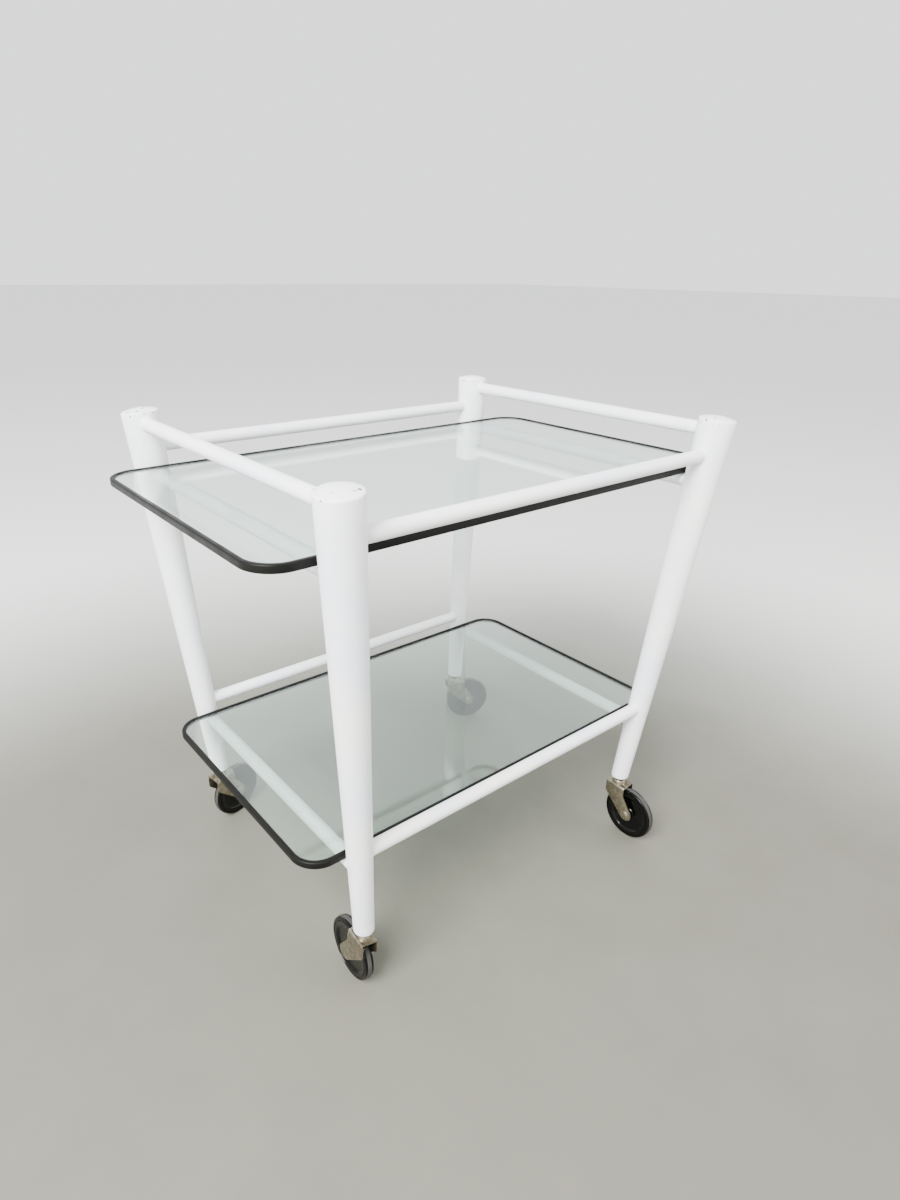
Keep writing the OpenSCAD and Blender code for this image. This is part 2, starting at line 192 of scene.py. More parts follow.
def brushed_paint(name, squeeze, chips):
    """White satin paint. squeeze stretches the bristle marks, chips shows bare wood at leg tops."""
    finish, tree, shader = new_finish(name, IOR=1.5)
    place = add_node(tree, "ShaderNodeTexCoord").outputs["Object"]
    along = add_node(tree, "ShaderNodeMapping", {"Vector": place, "Scale": squeeze})
    bristles = add_node(tree, "ShaderNodeTexNoise", {
        "Vector": along.outputs[0], "Scale": features(BRISTLE_MM), "Detail": 3.0})
    peel = add_node(tree, "ShaderNodeTexNoise", {
        "Vector": place, "Scale": features(PEEL_MM), "Detail": 2.0})
    drift = add_node(tree, "ShaderNodeTexNoise", {
        "Vector": place, "Scale": features(DRIFT_MM), "Detail": 3.0})
    drift_level = add_node(tree, "ShaderNodeMapRange", {
        "Value": drift.outputs[0], "From Min": 0.35, "From Max": 0.65})
    white = add_node(tree, "ShaderNodeMix", {
        MIX_FACTOR: drift_level.outputs[0], MIX_A: hex_colour("#F5F4F1"), MIX_B: hex_colour("#E7EAF1")},
        data_type="RGBA")
    height = add_node(tree, "ShaderNodeSeparateXYZ", {"Vector": place})
    scuff_noise = add_node(tree, "ShaderNodeTexNoise", {
        "Vector": place, "Scale": features(SCUFF_MM), "Detail": 5.0, "Roughness": 0.7})
    scuff_spots = add_node(tree, "ShaderNodeMapRange", {
        "Value": scuff_noise.outputs[0], "From Min": 0.56, "From Max": 0.72})
    near_floor = add_node(tree, "ShaderNodeMapRange", {
        "Value": height.outputs["Z"], "From Min": FOOT_Z, "From Max": FOOT_Z + 60 * MM,
        "To Min": 0.5, "To Max": 0.0})
    scuffed = add_node(tree, "ShaderNodeMath", {
        0: scuff_spots.outputs[0], 1: near_floor.outputs[0]}, operation="MULTIPLY")
    worn_white = add_node(tree, "ShaderNodeMix", {
        MIX_FACTOR: scuffed.outputs[0], MIX_A: white.outputs[MIX_RESULT], MIX_B: hex_colour("#9C978E")},
        data_type="RGBA")
    colour = worn_white.outputs[MIX_RESULT]
    if chips:
        chip_noise = add_node(tree, "ShaderNodeTexNoise", {
            "Vector": place, "Scale": features(CHIP_MM), "Detail": 2.0})
        chip_spots = add_node(tree, "ShaderNodeMapRange", {
            "Value": chip_noise.outputs[0], "From Min": 0.655, "From Max": 0.665})
        near_rim = add_node(tree, "ShaderNodeMapRange", {
            "Value": height.outputs["Z"], "From Min": TOP_Z - 6 * MM, "From Max": TOP_Z - 4 * MM})
        chipped = add_node(tree, "ShaderNodeMath", {
            0: chip_spots.outputs[0], 1: near_rim.outputs[0]}, operation="MULTIPLY")
        bare = add_node(tree, "ShaderNodeMix", {
            MIX_FACTOR: chipped.outputs[0], MIX_A: colour, MIX_B: hex_colour("#6E6354")},
            data_type="RGBA")
        colour = bare.outputs[MIX_RESULT]
    tree.links.new(colour, shader.inputs["Base Color"])
    sheen = add_node(tree, "ShaderNodeMapRange", {
        "Value": bristles.outputs[0], "From Min": 0.3, "From Max": 0.7, "To Min": 0.36, "To Max": 0.48})
    tree.links.new(sheen.outputs[0], shader.inputs["Roughness"])
    peel_bump = add_node(tree, "ShaderNodeBump", {
        "Height": peel.outputs[0], "Strength": 0.5, "Distance": 0.12 * MM})
    bristle_bump = add_node(tree, "ShaderNodeBump", {
        "Height": bristles.outputs[0], "Strength": 0.5, "Distance": 0.08 * MM,
        "Normal": peel_bump.outputs[0]})
    tree.links.new(bristle_bump.outputs[0], shader.inputs["Normal"])
    return finish


SQUEEZE = 0.04
leg_paint = brushed_paint("white_alkyd_paint_on_legs", (1, 1, SQUEEZE), chips=True)
long_rail_paint = brushed_paint("white_alkyd_paint_on_long_rails", (SQUEEZE, 1, 1), chips=False)
cross_rail_paint = brushed_paint("white_alkyd_paint_on_cross_rails", (1, SQUEEZE, 1), chips=False)
print("paint finishes made")

# %% [markdown]
# ## Float glass
# The shelves are 6 mm soda-lime float glass, IOR 1.52, with the faint green that iron gives it.
# It is clear, so the look comes from reflections: at a low angle a shelf mirrors the rails above
# it. Wiping leaves a thin uneven film, so in broad smears the roughness rises a little and a few
# hundredths of the light are scattered instead of let through.

# %% Clear glass with a wiped film
SMEAR_MM = 120


def float_glass():
    """Clear glass with a green tint and faint wiping smears."""
    finish, tree, shader = new_finish("float_glass_wiped", IOR=1.52)
    place = add_node(tree, "ShaderNodeTexCoord").outputs["Object"]
    wipe = add_node(tree, "ShaderNodeMapping", {
        "Vector": place, "Scale": (1, 0.25, 1), "Rotation": (0, 0, 0.5)})
    smears = add_node(tree, "ShaderNodeTexNoise", {
        "Vector": wipe.outputs[0], "Scale": features(SMEAR_MM), "Detail": 5.0, "Roughness": 0.6})
    tint = add_node(tree, "ShaderNodeMix", {
        MIX_FACTOR: smears.outputs[0], MIX_A: hex_colour("#F2FFFB"), MIX_B: hex_colour("#ECFCF6")},
        data_type="RGBA")
    film = add_node(tree, "ShaderNodeMapRange", {
        "Value": smears.outputs[0], "From Min": 0.45, "From Max": 0.75, "To Min": 0.0, "To Max": 0.05})
    tree.links.new(tint.outputs[MIX_RESULT], shader.inputs["Base Color"])
    tree.links.new(film.outputs[0], shader.inputs["Roughness"])
    clear = add_node(tree, "ShaderNodeMapRange", {
        "Value": smears.outputs[0], "From Min": 0.35, "From Max": 0.7, "To Min": 0.985, "To Max": 0.955})
    tree.links.new(clear.outputs[0], shader.inputs["Transmission Weight"])
    return finish


glass = float_glass()

# %% [markdown]
# ## Black vinyl strip
# The edging is extruded PVC, black and satin, with an IOR of 1.53 and a roughness near 0.4.
# Handling polishes it in places and dust dulls it in others, so its roughness wanders, and a
# grain of a millimetre or so keeps its long highlights from looking like wire. The studio is
# bright from every side, which would turn any black surface grey, so the specular level of the
# edging, and of the wheels further down, is set well under the usual 0.5.


# %% Satin black vinyl
VINYL_PATCH_MM = 25
VINYL_GRAIN_MM = 1.2


def black_vinyl():
    """Extruded black PVC with dull and polished patches."""
    finish, tree, shader = new_finish("black_pvc_extruded", IOR=1.53, Specular_IOR_Level=0.1)
    place = add_node(tree, "ShaderNodeTexCoord").outputs["Object"]
    patches = add_node(tree, "ShaderNodeTexNoise", {
        "Vector": place, "Scale": features(VINYL_PATCH_MM), "Detail": 4.0})
    grain = add_node(tree, "ShaderNodeTexNoise", {
        "Vector": place, "Scale": features(VINYL_GRAIN_MM), "Detail": 2.0})
    tone = add_node(tree, "ShaderNodeMix", {
        MIX_FACTOR: patches.outputs[0], MIX_A: hex_colour("#0A0B0A"), MIX_B: hex_colour("#151412")},
        data_type="RGBA")
    dull = add_node(tree, "ShaderNodeMapRange", {
        "Value": patches.outputs[0], "From Min": 0.3, "From Max": 0.7, "To Min": 0.30, "To Max": 0.48})
    bump = add_node(tree, "ShaderNodeBump", {
        "Height": grain.outputs[0], "Strength": 0.4, "Distance": 0.05 * MM})
    tree.links.new(tone.outputs[MIX_RESULT], shader.inputs["Base Color"])
    tree.links.new(dull.outputs[0], shader.inputs["Roughness"])
    tree.links.new(bump.outputs[0], shader.inputs["Normal"])
    return finish


vinyl = black_vinyl()

# %% [markdown]
# ## Metals
# The forks, rivets and stems are pressed and turned steel whose zinc plating has gone dull and
# brownish. The flange in the foot and the washer under it are darker: they have old grease on them,
# and their dark tone is also painted shade for the narrow gap between the foot and the fork plate.
# The bush in the hub is sintered bronze. One function makes all three: a metal keeps the
# default IOR, and its looks come from two tones that mix in blotches and from its roughness.


# %% Tarnished metals
METAL_GRAIN_MM = 0.8


def tarnished_metal(name, clean, tarnish, smooth, rough, blotch_mm):
    """A metal whose clean tone gives way to tarnish in blotches of that size."""
    finish, tree, shader = new_finish(name, Metallic=1.0)
    place = add_node(tree, "ShaderNodeTexCoord").outputs["Object"]
    blotches = add_node(tree, "ShaderNodeTexNoise", {
        "Vector": place, "Scale": features(blotch_mm), "Detail": 5.0, "Roughness": 0.65})
    grain = add_node(tree, "ShaderNodeTexNoise", {
        "Vector": place, "Scale": features(METAL_GRAIN_MM), "Detail": 2.0})
    level = add_node(tree, "ShaderNodeMapRange", {
        "Value": blotches.outputs[0], "From Min": 0.38, "From Max": 0.62})
    tone = add_node(tree, "ShaderNodeMix", {
        MIX_FACTOR: level.outputs[0], MIX_A: hex_colour(clean), MIX_B: hex_colour(tarnish)},
        data_type="RGBA")
    dull = add_node(tree, "ShaderNodeMapRange", {
        "Value": level.outputs[0], "To Min": smooth, "To Max": rough})
    bump = add_node(tree, "ShaderNodeBump", {
        "Height": grain.outputs[0], "Strength": 0.5, "Distance": 0.06 * MM})
    tree.links.new(tone.outputs[MIX_RESULT], shader.inputs["Base Color"])
    tree.links.new(dull.outputs[0], shader.inputs["Roughness"])
    tree.links.new(bump.outputs[0], shader.inputs["Normal"])
    return finish


zinc = tarnished_metal("zinc_plated_steel_dull", "#ACA390", "#7F7664", 0.28, 0.44, 7)
# The flange and washer steel is darkened for old grease and also as painted shade for the gap under the foot.
greased_steel_with_painted_shade = tarnished_metal("steel_greased_with_painted_shade", "#4A4640", "#26231F", 0.4, 0.6, 6)
bronze = tarnished_metal("sintered_bronze", "#B08D57", "#7A5E38", 0.4, 0.55, 4)

# %% [markdown]
# ## Wheel plastic and tyre rubber
# The wheel is compression-moulded phenolic, black, with an IOR of 1.55. It left a polished mould
# and is still fairly smooth, so its roughness runs from 0.08 to 0.16, with dust as a paler tone.
# The grey rubber band that it rolls on is rough all over, with dirt in a fine grain.


# %% Moulded black and grey rubber
DUST_MM = 10
SCRATCH_MM = 1.5
RUBBER_GRAIN_MM = 1.0
RUBBER_DIRT_MM = 12


def moulded_black():
    """Black phenolic, smooth, with fine scratches and dust."""
    finish, tree, shader = new_finish("black_phenolic_moulded", IOR=1.55, Specular_IOR_Level=0.16)
    place = add_node(tree, "ShaderNodeTexCoord").outputs["Object"]
    dust = add_node(tree, "ShaderNodeTexNoise", {
        "Vector": place, "Scale": features(DUST_MM), "Detail": 6.0, "Roughness": 0.7})
    scratches = add_node(tree, "ShaderNodeTexNoise", {
        "Vector": place, "Scale": features(SCRATCH_MM), "Detail": 3.0})
    dust_level = add_node(tree, "ShaderNodeMapRange", {
        "Value": dust.outputs[0], "From Min": 0.55, "From Max": 0.95})
    tone = add_node(tree, "ShaderNodeMix", {
        MIX_FACTOR: dust_level.outputs[0], MIX_A: hex_colour("#040404"), MIX_B: hex_colour("#1C1A18")},
        data_type="RGBA")
    dull = add_node(tree, "ShaderNodeMapRange", {
        "Value": scratches.outputs[0], "From Min": 0.3, "From Max": 0.7, "To Min": 0.08, "To Max": 0.16})
    bump = add_node(tree, "ShaderNodeBump", {
        "Height": scratches.outputs[0], "Strength": 0.4, "Distance": 0.06 * MM})
    tree.links.new(tone.outputs[MIX_RESULT], shader.inputs["Base Color"])
    tree.links.new(dull.outputs[0], shader.inputs["Roughness"])
    tree.links.new(bump.outputs[0], shader.inputs["Normal"])
    return finish


def grey_rubber():
    """Grey rubber, rough, with dirt in its grain."""
    finish, tree, shader = new_finish("grey_rubber_worn", IOR=1.52, Specular_IOR_Level=0.3)
    place = add_node(tree, "ShaderNodeTexCoord").outputs["Object"]
    grain = add_node(tree, "ShaderNodeTexNoise", {
        "Vector": place, "Scale": features(RUBBER_GRAIN_MM), "Detail": 4.0, "Roughness": 0.7})
    dirt = add_node(tree, "ShaderNodeTexNoise", {
        "Vector": place, "Scale": features(RUBBER_DIRT_MM), "Detail": 4.0})
    tone = add_node(tree, "ShaderNodeMix", {
        MIX_FACTOR: dirt.outputs[0], MIX_A: hex_colour("#454440"), MIX_B: hex_colour("#2B2A28")},
        data_type="RGBA")
    dull = add_node(tree, "ShaderNodeMapRange", {
        "Value": grain.outputs[0], "From Min": 0.3, "From Max": 0.7, "To Min": 0.65, "To Max": 0.85})
    bump = add_node(tree, "ShaderNodeBump", {
        "Height": grain.outputs[0], "Strength": 0.6, "Distance": 0.15 * MM})
    tree.links.new(tone.outputs[MIX_RESULT], shader.inputs["Base Color"])
    tree.links.new(dull.outputs[0], shader.inputs["Roughness"])
    tree.links.new(bump.outputs[0], shader.inputs["Normal"])
    return finish


phenolic = moulded_black()
rubber = grey_rubber()
print("finishes:", [m.name for m in bpy.data.materials if m.use_nodes])

# %% [markdown]
# ## Shaping helpers
# Most of the trolley was made on a lathe or by an extruder, so most pieces start as an outline
# that is spun round an axis. A spin leaves doubled points at its seam and poles and can turn the
# skin inside out, so its doubles are merged and its normals worked out again each time.


# %% Outline, spin and finish a piece
def arc(centre, radius, start, end, steps):
    """(across, along) points of an arc between two angles in degrees."""
    angles = [math.radians(start + (end - start) * k / steps) for k in range(steps + 1)]
    return [(centre[0] + radius * math.cos(a), centre[1] + radius * math.sin(a)) for a in angles]


def turned(outline, steps=72, ring=False):
    """Spins (radius, height) points about Z. The outline of a ring closes on itself."""
    bm = bmesh.new()
    points = [bm.verts.new((radius, 0, height)) for radius, height in outline]
    pairs = list(zip(points, points[1:] + points[:1]))
    edges = [bm.edges.new(pair) for pair in (pairs if ring else pairs[:-1])]
    bmesh.ops.spin(bm, geom=points + edges, cent=(0, 0, 0), axis=(0, 0, 1),
                   angle=math.tau, steps=steps, use_merge=True)
    bmesh.ops.remove_doubles(bm, verts=bm.verts, dist=0.001 * MM)
    bmesh.ops.recalc_face_normals(bm, faces=bm.faces)
    return bm


def soften(bm, edges, width, segments=2):
    """Rounds edges over by a width."""
    bmesh.ops.bevel(bm, geom=edges, offset=width, offset_type="OFFSET", segments=segments,
                    profile=0.5, affect="EDGES", clamp_overlap=True, material=-1)


def finish_piece(bm, name, node, finish, place=Matrix.Identity(4), crease=35):
    """Puts a mesh in its place, as a piece that rides with the node that it stands for."""
    bm.transform(place)
    mesh = bpy.data.meshes.new(name)
    bm.to_mesh(mesh)
    bm.free()
    mesh.materials.append(finish)
    mesh.shade_smooth()
    mesh.set_sharp_from_angle(angle=math.radians(crease))
    piece = bpy.data.objects.new(name, mesh)
    bpy.context.scene.collection.objects.link(piece)
    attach(piece, frame["nodes"][node]["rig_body"])
    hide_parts(node)
    return piece


# %% [markdown]
# ## Legs
# A leg is a plain taper from the lathe, thicker at the top, where its end is domed and its rim
# rounded over. The outline is straight apart from those two arcs. It is spun upright, longer than
# it needs to be, then leant along its centre line and cut off level at the foot, as a joiner does.
# The leg also goes into a search tree, so that the rails can find its surface later.

# %% Turn, lean and cut the legs
LEG_RINGS = 20
SPARE = 20 * MM


def turned_leg(corner):
    """One leg, leant and cut level at the foot."""
    foot, top = leg_centre(corner, FOOT_Z), leg_centre(corner, TOP_Z)
    length = (top - foot).length
    straight = length - LEG_RIM
    rim_centre = LEG_TOP_R - LEG_RIM
    dome_r = (rim_centre ** 2 + LEG_DOME ** 2) / (2 * LEG_DOME)
    dome_start = 90 - math.degrees(math.asin(rim_centre / dome_r))
    rings = [-SPARE + (straight + SPARE) * k / LEG_RINGS for k in range(LEG_RINGS)]
    outline = [(0, -SPARE)]
    outline += [(on_line(h, (LEG_FOOT_R, 0), (LEG_TOP_R, straight)), h) for h in rings]
    outline += arc((rim_centre, straight), LEG_RIM, 0, dome_start, 6)
    outline += arc((0, length + LEG_DOME - dome_r), dome_r, dome_start, 90, 8)[1:-1]
    outline += [(0, length + LEG_DOME)]
    bm = turned(outline, steps=96)
    lean = (top - foot).to_track_quat("Z", "Y").to_matrix().to_4x4()
    bm.transform(Matrix.Translation(foot) @ lean)
    cut = bmesh.ops.bisect_plane(bm, geom=bm.verts[:] + bm.edges[:] + bm.faces[:],
                                 plane_co=(0, 0, FOOT_Z), plane_no=(0, 0, 1), clear_inner=True)
    rim = [item for item in cut["geom_cut"] if isinstance(item, bmesh.types.BMEdge)]
    bmesh.ops.edgeloop_fill(bm, edges=rim)
    soften(bm, rim, 0.8 * MM, 3)
    bmesh.ops.recalc_face_normals(bm, faces=bm.faces)
    return bm


leg_trees = {}
for corner in CORNERS:
    leg = turned_leg(corner)
    leg_trees[corner] = BVHTree.FromBMesh(leg)
    finish_piece(leg, f"turned_leg_{corner}", f"leg_{corner}", leg_paint)
print("legs turned:", len(leg_trees))

# %% [markdown]
# ## Rails
# A rail is a 16 mm dowel whose ends are glued into holes in the legs. After painting, a little
# fillet of paint and glue fills the corner all the way round, and that soft line is what tells
# the eye that the joint is tight. The dowel is a short spun outline. The fillet starts as a
# circle round the dowel that is extruded outwards in steps, and every point is slid along the
# dowel until it meets the leg, which a ray from the dowel finds.

# %% Dowels with their fillets of paint
DOWEL_CHAMFER = 1 * MM
BEAD_SEGMENTS = 48
# Each step of the fillet: how far it lies outside the dowel, and how far short of the leg
BEAD_STEPS = [(-0.3, 2.2), (0.05, 1.9), (0.25, 1.1), (0.6, 0.5), (1.15, 0.18), (1.9, -0.1), (1.9, -0.6)]
BEAD_HEEL = (-0.3, -0.6)


def slide_to_leg(points, tree, start, along, radius, short):
    """Moves points to a radius about the dowel's axis, and along it to just short of the leg."""
    for point in points:
        offset = point.co - start
        outward = (offset - offset.dot(along) * along).normalized() * radius
        hit = tree.ray_cast(start + outward, along)[0]
        point.co = hit - short * along


def paint_bead(tree, start, along, radius):
    """The fillet of paint round a dowel where it meets a leg."""
    bm = bmesh.new()
    turn = along.to_track_quat("Z", "Y").to_matrix().to_4x4()
    ring = bmesh.ops.create_circle(bm, radius=radius, segments=BEAD_SEGMENTS,
                                   matrix=Matrix.Translation(start) @ turn)["verts"]
    first_edges = bm.edges[:]
    edges = first_edges
    slide_to_leg(ring, tree, start, along, radius + BEAD_STEPS[0][0] * MM, BEAD_STEPS[0][1] * MM)
    for out, short in BEAD_STEPS[1:] + [BEAD_HEEL]:
        grown = bmesh.ops.extrude_edge_only(bm, edges=edges)["geom"]
        ring = [item for item in grown if isinstance(item, bmesh.types.BMVert)]
        edges = [item for item in grown if isinstance(item, bmesh.types.BMEdge)
                 and item.verts[0] in ring and item.verts[1] in ring]
        slide_to_leg(ring, tree, start, along, radius + out * MM, short * MM)
    bmesh.ops.bridge_loops(bm, edges=first_edges + edges)
    bmesh.ops.recalc_face_normals(bm, faces=bm.faces)
    return bm


def add_to(bm, other):
    """Adds another mesh to this one as a separate shell."""
    joined = bpy.data.meshes.new("joined")
    other.to_mesh(joined)
    other.free()
    bm.from_mesh(joined)
    bpy.data.meshes.remove(joined)


def dowel_rail(node, finish):
    """A dowel between two legs, with a fillet of paint at each end."""
    low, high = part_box(node)
    size = high - low
    along = Vector((1, 0, 0)) if size.x > size.y else Vector((0, 1, 0))
    half, radius = size.dot(along) / 2, size.z / 2
    centre = (low + high) / 2
    outline = [(0, -half), (radius - DOWEL_CHAMFER, -half), (radius, -half + DOWEL_CHAMFER)]
    outline += [(radius, half * k / 4) for k in range(-3, 4)]
    outline += [(radius, half - DOWEL_CHAMFER), (radius - DOWEL_CHAMFER, half), (0, half)]
    bm = turned(outline, steps=64)
    bm.transform(Matrix.Translation(centre) @ along.to_track_quat("Z", "Y").to_matrix().to_4x4())
    for corner in CORNERS:
        to_leg = leg_centre(corner, centre.z) - centre
        to_leg.z = 0
        off_line = to_leg - to_leg.dot(along) * along
        if off_line.length < MM:
            add_to(bm, paint_bead(leg_trees[corner], centre, to_leg.normalized(), radius))
    finish_piece(bm, f"dowel_{node}", node, finish)


for kind, ends, finish in (("long_rail", ("front", "back"), long_rail_paint),
                           ("shelf_rail", ("left", "right"), cross_rail_paint)):
    for level in ("upper", "lower"):
        for end in ends:
            dowel_rail(f"{level}_{kind}_{end}", finish)
for end in ("left", "right"):
    dowel_rail(f"handle_rail_{end}", cross_rail_paint)
print("rail's paint bead stands", BEAD_STEPS[-1][0], "mm out")

# %% [markdown]
# ## Glass plates and their edging
# Each shelf is a cut plate with round corners and ground edges. A cube scaled to the plate has
# its four upright edges bevelled into the corners, and then its sharp rims get a tiny bevel, the
# arris that a glazier grinds. Its edges are kept sharp in the shading, because a flat pane that is
# shaded as if it bulged bends what is seen through it.
# The strip starts in the same way, as a full slab with rounded rims. Its top and bottom are inset
# by the depth of the lips and removed, and the thin skin that is left is thickened inwards, which
# makes the U-shaped section in one go.


# %% Plates and strips
def rounded_slab(low, high, corner_r):
    """A slab that fills a box, with its four upright corners rounded."""
    bm = bmesh.new()
    bmesh.ops.create_cube(bm, size=1)
    size, centre = high - low, (low + high) / 2
    bm.transform(Matrix.Translation(centre) @ Matrix.Diagonal((*size, 1)))
    upright = [e for e in bm.edges if abs(e.verts[0].co.z - e.verts[1].co.z) > size.z / 2]
    soften(bm, upright, corner_r, 20)
    return bm


def rims(bm):
    """The edges between a slab's level faces and its wall."""
    return [e for e in bm.edges if sum(abs(f.normal.z) > 0.9 for f in e.link_faces) == 1]


def glass_plate(level):
    """A shelf's glass, with ground rims."""
    node = f"{level}_glass"
    bm = rounded_slab(*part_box(node), CORNER_R[level] - STRIP_WALL)
    bm.normal_update()
    soften(bm, rims(bm), 0.6 * MM, 1)
    finish_piece(bm, f"plate_{node}", node, glass, crease=12)


def edging_strip(level):
    """The strip round a shelf, as a slab's skin with its top and bottom opened and thickened."""
    node = f"{level}_edging"
    rim_round = 1.6 * MM
    bm = rounded_slab(*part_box(node), CORNER_R[level])
    bm.normal_update()
    soften(bm, rims(bm), rim_round, 5)
    bm.normal_update()
    caps = [f for f in bm.faces if len(f.verts) > 8]
    bmesh.ops.inset_region(bm, faces=caps, thickness=LIP_DEPTH - rim_round, use_even_offset=True)
    bmesh.ops.delete(bm, geom=caps, context="FACES")
    bm.normal_update()
    bmesh.ops.solidify(bm, geom=bm.faces[:], thickness=LIP_T)
    bmesh.ops.recalc_face_normals(bm, faces=bm.faces)
    sharp = [e for e in bm.edges if e.calc_face_angle(0) > math.radians(70)]
    soften(bm, sharp, 0.3 * MM, 2)
    finish_piece(bm, f"strip_{node}", node, vinyl, crease=50)


for level in ("upper", "lower"):
    glass_plate(level)
    edging_strip(level)
    low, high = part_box(f"{level}_edging")
    print(level, "shelf is", [round(v / MM) for v in high - low], "mm")

# %% [markdown]
# ## Casters
# Each caster is made of the same eight pieces, and its joints in the frame say where it stands,
# which way it trails and where its axle lies. The round pieces are spun. The wheel's outline
# carries what the light catches: a boss, a dished web, a rounded shoulder with a shallow ring
# cut into it, and the groove that holds the grey band.

# %% Where each caster stands
def caster_place(corner):
    """The matrix that puts +X along the trail and the origin on the floor under the swivel."""
    swivel, roll = joints[f"{corner}_swivel"], joints[f"{corner}_roll"]
    trail = Vector(roll["pos_m"]) - Vector(swivel["pos_m"])
    foot = Vector((swivel["pos_m"][0], swivel["pos_m"][1], 0))
    return Matrix.Translation(foot) @ Matrix.Rotation(math.atan2(trail.y, trail.x), 4, "Z")


def axle_place(corner):
    """The matrix that puts +Z along the axle and the origin at the middle of the wheel."""
    roll = joints[f"{corner}_roll"]
    across = Vector(roll["axis"]).normalized()
    trail = Vector((0, 0, 1)).cross(across)
    turn = Matrix((trail, (0, 0, 1), across)).transposed().to_4x4()
    return Matrix.Translation(Vector(roll["pos_m"])) @ turn


swivel_pos = Vector(joints["front_left_swivel"]["pos_m"])
roll_pos = Vector(joints["front_left_roll"]["pos_m"])
TRAIL = (roll_pos - swivel_pos).to_2d().length
BOSS_H = 5.5 * MM
BOSS_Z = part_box("caster_fork_front_left")[1].z
PLATE_Z = BOSS_Z - BOSS_H
print("trail", round(TRAIL, 4), "plate height", round(PLATE_Z, 4))

# %% Wheel, band and bush
TREAD_HALF = 2.5 * MM
TREAD_FLOOR = WHEEL_R - 5 * MM


def wheel_outline():
    """One face of the wheel, from bore to tread, as (radius, distance from the middle)."""
    shoulder = WHEEL_R - 0.5 * MM
    round_r = 1.6 * MM
    boss = [(4.65, 7.2), (4.95, 7.5), (7.4, 7.5), (8.0, 7.0), (8.6, 3.9), (9.4, 3.1), (12.0, 2.9)]
    dish = [(24.0, 2.9), (25.6, 3.1), (26.9, 3.9), (27.9, 5.0), (28.6, 5.4), (29.3, 5.5)]
    groove = [(32.4, 5.5), (32.7, 4.9), (33.5, 4.9), (33.8, 5.5)]
    points = [(r * MM, h * MM) for r, h in boss + dish + groove]
    points += arc((shoulder - round_r, WHEEL_HALF - round_r), round_r, 90, 0, 5)
    points += [(shoulder, TREAD_HALF + 0.35 * MM), (shoulder - 0.3 * MM, TREAD_HALF + 0.05 * MM)]
    return points + [(TREAD_FLOOR, TREAD_HALF + 0.05 * MM)]


def wheel_disc():
    """The moulded wheel: one face and its mirror image, spun as a ring."""
    face = wheel_outline()
    return turned(face + [(r, -h) for r, h in reversed(face)], ring=True)


def tyre_band():
    """The rubber band in the wheel's groove, with rounded edges."""
    inner = TREAD_FLOOR + 0.05 * MM
    round_r = 0.7 * MM
    face = [(inner, TREAD_HALF)]
    face += arc((WHEEL_R - round_r, TREAD_HALF - round_r), round_r, 90, 0, 4)
    return turned(face + [(r, -h) for r, h in reversed(face)], ring=True)


def plain_ring(inner, outer, low, high, chamfer):
    """A ring with its four rims chamfered."""
    return turned([
        (inner, low + chamfer), (inner + chamfer, low), (outer - chamfer, low), (outer, low + chamfer),
        (outer, high - chamfer), (outer - chamfer, high), (inner + chamfer, high), (inner, high - chamfer)],
        steps=48, ring=True)


# %% [markdown]
# The fork is one piece of bent sheet steel. Its outline is drawn as open faces: a cheek on each
# side and the plate between them. The two folds are bevelled into bends, the corners are
# rounded, and the sheet is then thickened inwards, so that it has the same gauge all over.
# A cheek is deep under the plate and then runs back as an arm that ends round at the axle, and
# the arm's sides are tangents to that round end. A boss pressed up round the stem is spun and
# added, with the two shallow rings that the press leaves in it.


# %% Bent fork
PLATE_FRONT = 13.5 * MM
PLATE_BACK = 16.5 * MM
CHEEK_FRONT = 17 * MM
CHEEK_BACK = 13 * MM
CHEEK_END_R = 9.5 * MM
ELBOW_R = 2.5 * MM
FOLD_R = 2.4 * MM
WASHER_R = 8 * MM
STEM_HOLE_R = 4.05 * MM
# The pressed boss from its foot up, as (radius, height above the plate)
BOSS_STEPS = [(9.0, -0.2), (8.95, 1.1), (8.6, 1.9), (8.45, 2.4),
              (8.4, 3.2), (8.0, 4.1), (7.8, 4.4), (7.6, 5.1)]


def tangent_angle(point, centre, radius, side):
    """Angle, in degrees, at which a line from a point touches a circle."""
    dx, dz = point[0] - centre[0], point[1] - centre[1]
    return math.degrees(math.atan2(dz, dx)) + side * math.degrees(math.acos(radius / math.hypot(dx, dz)))


def cheek_outline():
    """(along the trail, height) points of a cheek, from the plate's front round to its back."""
    eye = (TRAIL, WHEEL_R)
    front_low, back_low = (-PLATE_FRONT, PLATE_Z - CHEEK_FRONT), (PLATE_BACK, PLATE_Z - CHEEK_BACK)
    start = tangent_angle(front_low, eye, CHEEK_END_R, 1)
    end = tangent_angle(back_low, eye, CHEEK_END_R, -1)
    tip = arc(eye, CHEEK_END_R, start, end + 360, 20)
    return [(-PLATE_FRONT, PLATE_Z), front_low] + tip + [back_low, (PLATE_BACK, PLATE_Z)]


def pressed_boss():
    """The boss round the stem: two shallow steps up to the washer."""
    outline = [(r * MM, PLATE_Z + h * MM) for r, h in BOSS_STEPS]
    top = BOSS_Z - 0.01 * MM
    outline += [(7.2 * MM, top), (STEM_HOLE_R, top), (STEM_HOLE_R, PLATE_Z - 0.2 * MM)]
    return turned(outline, steps=64, ring=True)


